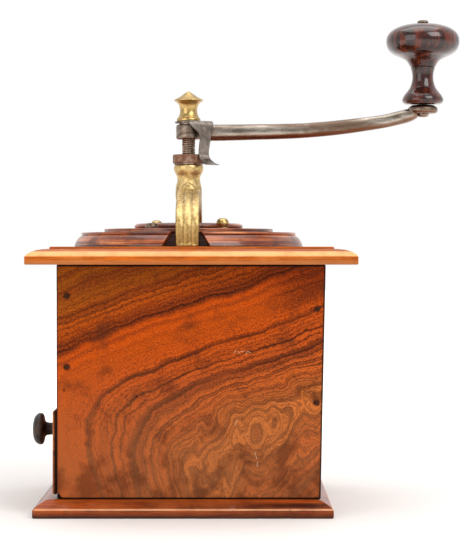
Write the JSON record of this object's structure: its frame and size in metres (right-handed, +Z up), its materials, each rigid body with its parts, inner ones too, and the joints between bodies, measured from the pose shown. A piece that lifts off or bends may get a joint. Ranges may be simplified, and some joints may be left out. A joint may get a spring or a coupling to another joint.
{
  "type": "hand crank coffee grinder",
  "caption": "Wooden box mill with a drawer, a low dome with a turning shutter, a brass bridge and a long crank with a wooden knob.",
  "frame": {"origin": "where the spindle's axis meets the underside of the plinth", "axes": "+Z up along the spindle, -Y out of the drawer, +Y along the crank at rest"},
  "size_m": [0.171, 0.2372, 0.2668],
  "materials": {
    "bright_steel": "polished by use, brown patches",
    "burr_steel": "dull",
    "cast_brass": "aged, cast",
    "dark_knob": "dark, satin",
    "dark_walnut": "dark varnish",
    "dark_wood": "glossy dark stain",
    "iron": "rusty",
    "pale_walnut": "varnished, worn pale on the moulding",
    "plain_wood": "unfinished",
    "polished_brass": "polished, worn",
    "varnished_steel": "red-brown wood-effect varnish",
    "walnut": "varnished, figured",
    "worn_steel": "worn, dark patina"
  },
  "bodies": {
    "case": {"plinth_front": "dark_walnut", "plinth_right": "dark_walnut", "plinth_back": "dark_walnut", "plinth_left": "dark_walnut", "bottom_board": "plain_wood", "side_panel_right": "walnut", "side_panel_left": "walnut", "back_board": "walnut", "front_board": "walnut", "side_nails": "iron", "top_board": "pale_walnut", "hopper_bowl": "varnished_steel", "lower_bearing_bar": "iron", "bearing_screws": "iron", "outer_burr": "burr_steel", "dome_shell": "varnished_steel", "dome_cap": "varnished_steel", "guide_screws": "worn_steel", "bridge": "cast_brass", "bridge_bolts": "iron"},
    "shutter": {"shutter_disc": "varnished_steel", "shutter_knobs": "polished_brass"},
    "washer": {"thrust_washer": "worn_steel"},
    "nut": {"adjusting_nut": "worn_steel"},
    "spindle": {"spindle": "worn_steel", "inner_burr": "burr_steel", "burr_pin": "burr_steel", "crank_arm": "bright_steel", "knob_pin": "bright_steel", "hub_washer": "worn_steel", "catch_plate": "worn_steel", "finial": "polished_brass"},
    "catch": {"catch_strap": "worn_steel"},
    "knob": {"crank_knob": "dark_wood"},
    "drawer": {"drawer_front": "walnut", "drawer_side_right": "plain_wood", "drawer_side_left": "plain_wood", "drawer_bottom": "plain_wood", "drawer_back": "plain_wood", "drawer_knob": "dark_knob", "drawer_knob_screw": "iron"}
  },
  "joints": [
    {"name": "crank_turn", "type": "hinge", "parent": "case", "child": "washer", "pos_m": [0, 0, 0.187], "axis": [0, 0, 1], "continuous": true},
    {"name": "nut_turn", "type": "hinge", "parent": "washer", "child": "nut", "pos_m": [0, 0, 0.1894], "axis": [0, 0, 1], "range_deg": [-120, 120]},
    {"name": "grind_set", "type": "slide", "parent": "washer", "child": "spindle", "axis": [0, 0, 1], "range_m": [-0.0004, 0.0004]},
    {"name": "catch_lift", "type": "hinge", "parent": "spindle", "child": "catch", "pos_m": [0.00866, 0.005, 0.2098], "axis": [0.5, -0.866, 0], "range_deg": [0, 10], "stiffness_Nm_per_rad": 0.15, "springref_deg": -2.86},
    {"name": "knob_spin", "type": "hinge", "parent": "spindle", "child": "knob", "pos_m": [0, 0.1302, 0.2422], "axis": [0, 0, 1], "continuous": true},
    {"name": "drawer_slide", "type": "slide", "parent": "case", "child": "drawer", "axis": [0, -1, 0], "range_m": [0, 0.1]},
    {"name": "shutter_turn", "type": "hinge", "parent": "case", "child": "shutter", "pos_m": [0, 0, 0.1498], "axis": [0, 0, 1], "range_deg": [0, 90]}
  ],
  "couplings": [
    {"joint": "nut_turn", "follows": "grind_set", "rad_per_m": 5026.5}
  ]
}
